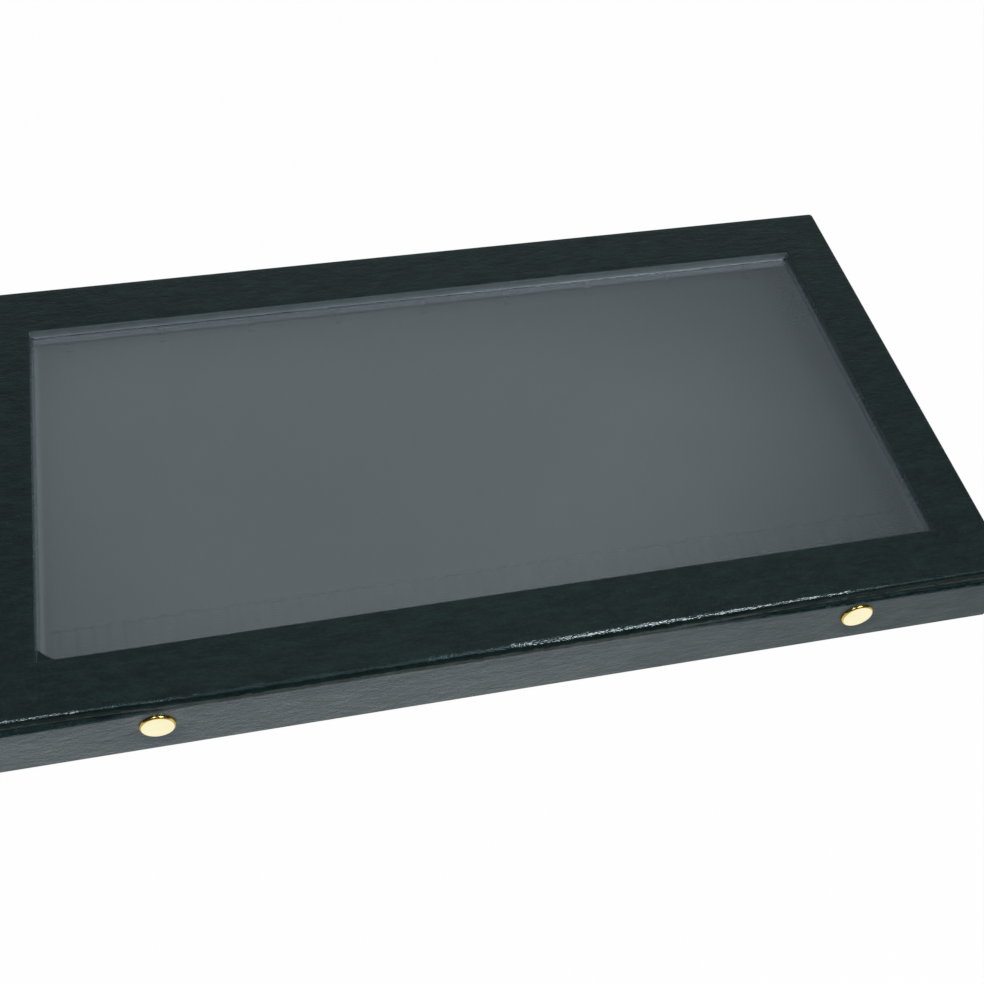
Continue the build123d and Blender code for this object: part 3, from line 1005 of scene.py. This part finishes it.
def make_lid_lining():
    """The velvet-faced frame that holds the glass, seen when the lid is open."""
    base, top = LID_BASE, glass_low[2]
    edge = [(0.0, base + 0.35), (0.12, base + 0.1), (0.4, base), (1.5, base - 0.02)]
    outside = [(grow(OUTLINE, -1.0 - inset), z) for inset, z in [(0.0, top)] + edge]
    inside = [(grow(WINDOW, inset), z) for inset, z in edge[::-1] + [(0.0, top - 0.02)]]
    sides = [spread(a, b, 5)[1:-1] for a, b in zip(outside[-1][0], inside[0][0])]
    profile = outside + [(bounds, base - 0.02) for bounds in zip(*sides)] + inside
    verts = wavy_rings(profile, 0.7, 20, 0.03)
    faces = ring_faces(len(profile) + 1, len(verts) // len(profile))
    lining = build("lid_lining_velvet", verts, [tuple(i % len(verts) for i in face) for face in faces])
    face_outwards(lining)
    finish_piece(lining, black_velvet, body="lid", replaces=["lid_lining"])


make_lid_lining()


def make_flap_lining():
    """Velvet on the flap's inner face, carried up over the hinge to the lid's base."""
    x0, x1 = flap_low[0] + 2.6, flap_high[0] - 2.6
    foot = FLAP_FOOT + 2.4
    columns = 150
    path = [(foot, 0.0), (foot + 0.15, 0.3)]
    path += [(z, 0.42) for z in spread(foot + 0.6, FLAP_TOP - 1.4, 10)]
    path += [(FLAP_TOP + up, rise) for up, rise in ((-0.7, 0.4), (0.0, 0.15), (0.4, -0.25), (0.8, -0.55))]
    path += [(LID_BASE, -0.7), (LID_BASE + 0.15, -0.75)]
    verts = []
    for z, rise in path:
        for c, x in enumerate(spread(x0, x1, columns)):
            soft = 0.3 if c in (0, columns) else 0.0
            verts.append((x, FLAP_IN + max(rise - soft, -0.75) + wander((x, 0, z), 14, 0.04), z))
    lining = build("flap_lining_velvet", verts, grid_faces(0, len(path), columns + 1, flip=True))
    thicken(lining, 0.4)
    finish_piece(lining, black_velvet, replaces=["flap_lining"])
    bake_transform(lining)


make_flap_lining()


# Pad

HOOK_Y = (hook_low[1] + hook_high[1]) / 2 - 1.9
HOOKS_X = spread(-152.0, 152.0, 8)
PAD_CROWN = 0.9


def settle_pad(pad):
    """Where the pad's points lie after a short cloth simulation that swells it, none far from its place."""
    before = np.array([v.co for v in pad.data.vertices])
    cloth = pad.modifiers.new("cloth", "CLOTH")
    cloth.settings.use_pressure = True
    cloth.settings.uniform_pressure_force = 4.0
    cloth.settings.effector_weights.gravity = 0
    cloth.settings.tension_stiffness = 20
    cloth.settings.quality = 5
    scene = bpy.context.scene
    for step in range(1, 16):
        scene.frame_set(step)
    graph = bpy.context.evaluated_depsgraph_get()
    after = np.array([v.co for v in pad.evaluated_get(graph).data.vertices])
    pad.modifiers.remove(cloth)
    scene.frame_set(1)
    moved = after - before
    length = np.linalg.norm(moved, axis=1, keepdims=True)
    cap = PAD_CROWN * MM
    moved *= cap * np.tanh(length / cap) / np.maximum(length, 1e-9)
    return before + moved


def make_pad():
    """The necklace pad: velvet drawn over foam, crowned, its sides pulled in between the corners."""
    low = (pad_low[0] + 0.3, pad_low[1] + 0.3, pad_low[2])
    high = (pad_high[0] - 0.3, pad_high[1] - 0.3, pad_high[2])
    pad = rounded_slab("necklace_pad", low, high, 2.6, 4.4, fine=4)
    points = np.array([v.co for v in pad.data.vertices])
    points = settle_pad(pad)
    for v, p in zip(pad.data.vertices, points):
        x, y, z = p / MM
        top_share = smoothstep(low[2] + 2.2, high[2], z)
        inside = min(x - low[0], high[0] - x, y - low[1], high[1] - y)
        crown = 0.25 * smoothstep(0, 30, inside)
        dimple = sum(math.exp(-(((x - hook) / 5.5) ** 2) - (((y - HOOK_Y) / 4.2) ** 2)) for hook in HOOKS_X)
        pulled = math.cos(math.pi * (x - low[0]) / (high[0] - low[0]) * 6) * (1 - smoothstep(0, 8, inside))
        z += top_share * (crown - 0.75 * dimple + wander((x, y, 0), 24, 0.1) + 0.042 * pulled)
        z = max(z, pad_low[2])
        ceiling = pad_high[2] + 0.9 - 0.85 * smoothstep(16, 6, abs(y - HOOK_Y))
        v.co = Vector((x, y, min(z, ceiling))) * MM
    pad.data.update()
    smooth = pad.modifiers.new("smooth", "SUBSURF")
    smooth.levels = smooth.render_levels = 1
    apply_modifiers(pad)
    finish_piece(pad, pad_velvet, body="tray", replaces=["pad_cover", "pad_foam"])


make_pad()


GATHER_PITCH = 6.8
POUCH_COLUMNS = 460


def gather_drift(x):
    """How far the gathers stray sideways at x."""
    return 1.6 * noise.noise(Vector((x / 30, 0.3, 1.7)))


def make_pouch():
    """The gathered elastic pocket for the chain ends, and its rolled hem."""
    x0, x1 = pouch_low[0], pouch_high[0]
    y0 = pouch_low[1]
    hem_y = pouch_high[1] - 1.1
    base = pouch_low[2] + 0.25
    columns, rows = POUCH_COLUMNS, 22
    verts = []
    for t in spread(0, 1, rows):
        for s in spread(0, 1, columns):
            x = x0 + (x1 - x0) * s
            drift = gather_drift(x)
            gather = math.sin(math.tau * (x + drift * 3) / GATHER_PITCH)
            gather += 0.4 * math.sin(math.tau * x / 3.1 + drift * 4)
            ends = smoothstep(0, 0.02, min(s, 1 - s))
            depth = (0.12 + 0.5 * t ** 1.6) * ends
            lift = (0.4 + 0.85 * smoothstep(0, 0.9, t)) * (0.45 + 0.55 * ends)
            verts.append((x, y0 + (hem_y - y0) * t, base + lift + depth * gather * 0.72))
    pouch = build("chain_pouch_elastic", verts, grid_faces(0, rows + 1, columns + 1))
    thicken(pouch, 0.35)
    finish_piece(pouch, black_elastic, body="tray", replaces=["chain_pouch"])
    hem = make_hem(x0, x1, hem_y, base + 1.05)


def make_hem(x0, x1, y, z):
    """The rolled elastic hem, puckered by its stitches."""
    columns, around = POUCH_COLUMNS, 10
    verts = []
    for c, x in enumerate(spread(x0, x1, columns)):
        gather = math.sin(math.tau * (x + gather_drift(x) * 3) / GATHER_PITCH)
        swell = 0.78 + 0.16 * gather + 0.08 * math.sin(math.tau * x / 2.4)
        end = min(c, columns - c)
        swell *= (0.35, 0.75)[end] if end < 2 else 1.0
        for a in spread(0, math.tau, around)[:-1]:
            verts.append((x, y + swell * math.cos(a), z + 0.25 * gather + swell * math.sin(a) * 0.9))
    hem = build("chain_pouch_hem", verts, tube_faces(columns + 1, around))
    face_outwards(hem)
    return finish_piece(hem, black_elastic, body="tray")


make_pouch()


# Snap caps

CAP_SHOULDER = 0.95


def make_caps():
    """The two brass caps: a flat polished face in a rolled rim, standing a little off the flap. The rim takes
    a darker brass, a painted shade.
    """
    radius = CAP_RADIUS
    height = FLAP_OUT - caps_low[1]
    profile = [(0.9, -2.4), (1.4, -2.4), (1.4, -0.35)]
    profile += [(radius - inset, -deep) for inset, deep in ((1.2, 0.3), (0.3, 0.22), (0.05, 0.05))]
    shoulder = arc(1, range(0, 91, 9))
    profile += [(radius - CAP_SHOULDER * inset, 0.3 + (height - 0.3) * rise) for rise, inset in shoulder]
    profile += [(r, height) for r in (radius - CAP_SHOULDER - 0.25, 3.0, 1.2, 0.3)]
    for x, name in ((-CAP_X, "left"), (CAP_X, "right")):
        cap = lathe(f"snap_cap_{name}", profile, (x, FLAP_OUT, CAP_Z))
        finish_piece(cap, cap_brass, body="flap", replaces=["snap_caps"])
        # The rim's darker brass is painted shade, for the dark surroundings that it mirrors.
        cap.data.materials.append(rim_brass_painted_shade)
        for face in cap.data.polygons:
            if math.hypot(face.center.x / MM - x, face.center.z / MM - CAP_Z) > radius - CAP_SHOULDER * 0.75:
                face.material_index = 1


make_caps()


# CAD nodes that stay, with their finishes

FINISHES = {
    "glass_pane": clear_glass,
    "snap_sockets": plain_brass,
    "snap_studs": plain_brass,
    "snap_stud_rivets": plain_brass,
    "snap_springs": spring_steel,
    "necklace_hooks": hook_black,
    "flap_board": grey_board,
    "pad_board": grey_board,
    "tray_base_panel": base_paper,
}
for name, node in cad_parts.items():
    if not node.hide_render:
        for slot in node.material_slots:
            slot.material = FINISHES.get(name, frame_wood)


# Floor, light and camera


FLOOR_HALF = 4000
FLOOR_HEIGHT = -0.2


def make_floor():
    """White paper, which glows evenly where it is seen, straight or in a reflection."""
    low, high = -FLOOR_HALF, FLOOR_HALF
    corners = [(x, y, FLOOR_HEIGHT) for x, y in ((low, low), (high, low), (high, high), (low, high))]
    floor = build("floor", corners, [(0, 1, 2, 3)], smooth=False)
    n = material_nodes("floor_paper")
    rays = n.add("ShaderNodeLightPath").outputs
    seen = n.math("MAXIMUM", rays["Is Glossy Ray"], rays["Is Transmission Ray"])
    seen = n.math("MAXIMUM", rays["Is Camera Ray"], seen)
    paper = n.add("ShaderNodeBsdfDiffuse", {"Color": (0.86, 0.86, 0.86, 1)})
    white = n.add("ShaderNodeEmission", {"Color": (1, 1, 1, 1), "Strength": 1.0})
    floor.data.materials.append(n.output(n.mix_shader(n.math("MULTIPLY", seen, 0.975), paper, white)))


PATCH_AZIMUTH = 9
PATCH_ELEVATION = 46
PATCH_EDGE = 22.6
PATCH_CORE = 9
HORIZON_GLOW = 0.8


def make_world():
    """A pale room, white to the camera, with a soft bright patch behind the box that the glass mirrors."""
    world = bpy.data.worlds.new("studio")
    bpy.context.scene.world = world
    n = Nodes(world)
    towards = n.add("ShaderNodeTexCoord").outputs["Generated"]
    azimuth, elevation = math.radians(PATCH_AZIMUTH), math.radians(PATCH_ELEVATION)
    flat = math.cos(elevation)
    centre = (math.sin(azimuth) * flat, math.cos(azimuth) * flat, math.sin(elevation))
    near = n.add("ShaderNodeVectorMath", {0: towards, 1: centre}, operation="DOT_PRODUCT").outputs["Value"]
    edge, core = (math.cos(math.radians(a)) for a in (PATCH_EDGE, PATCH_CORE))
    patch = n.ramp(near, edge, core, 0.18, 1.01, "SMOOTHSTEP")
    height = n.axis(towards, "Z")
    high = n.ramp(height, 0.64, 0.72, 0.58, 1.0, "SMOOTHSTEP")
    low = n.ramp(height, 0.62, 0.3, 0.0, HORIZON_GLOW, "SMOOTHSTEP")
    behind = n.ramp(n.axis(towards, "Y"), 0.1, 0.7, kind="SMOOTHSTEP")
    strength = n.math("MAXIMUM", n.math("MULTIPLY", patch, high), n.math("MULTIPLY", low, behind))
    room = n.add("ShaderNodeBackground", {"Color": (0.72, 0.8, 0.845, 1), "Strength": strength})
    white = n.add("ShaderNodeBackground", {"Color": (1, 1, 1, 1)})
    seen = n.add("ShaderNodeLightPath").outputs["Is Camera Ray"]
    n.output(n.mix_shader(seen, room, white), "ShaderNodeOutputWorld")


def make_lamp(name, place, target, size, power):
    """A rectangular lamp at a place in metres, turned to its target."""
    data = bpy.data.lights.new(name, "AREA")
    data.shape = "RECTANGLE"
    data.size, data.size_y = size
    data.energy = power
    lamp = bpy.data.objects.new(name, data)
    lamp.location = place
    lamp.rotation_euler = (Vector(target) - Vector(place)).to_track_quat("-Z", "Y").to_euler()
    bpy.context.scene.collection.objects.link(lamp)


CAMERA_LENS = 50.53
CAMERA_PLACE = (-94.26, -357.01, 433.68)
CAMERA_FORWARD = (0.18486, 0.61286, -0.76826)
CAMERA_RIGHT = (0.97414, -0.21764, 0.06079)


def make_camera():
    """The camera as it was fitted to the photograph."""
    data = bpy.data.cameras.new("camera")
    data.sensor_width = 36.0
    data.lens = CAMERA_LENS
    data.clip_start = 0.01
    camera = bpy.data.objects.new("camera", data)
    forward = Vector(CAMERA_FORWARD).normalized()
    right = Vector(CAMERA_RIGHT)
    right = (right - forward * right.dot(forward)).normalized()
    turn = Matrix((right, right.cross(forward), -forward)).transposed()
    camera.matrix_world = Matrix.Translation(Vector(CAMERA_PLACE) * MM) @ turn.to_4x4()
    bpy.context.scene.collection.objects.link(camera)
    bpy.context.scene.camera = camera


make_floor()
make_world()
make_lamp("softbox_right", (0.42, -0.42, 1.0), (0.05, -0.02, 0), (0.46, 0.36), 6.4)
make_lamp("softbox_left", (-0.36, -0.4, 1.0), (-0.05, 0, 0), (0.2, 0.3), 2.8)
make_camera()

bpy.context.scene.view_settings.view_transform = "Standard"
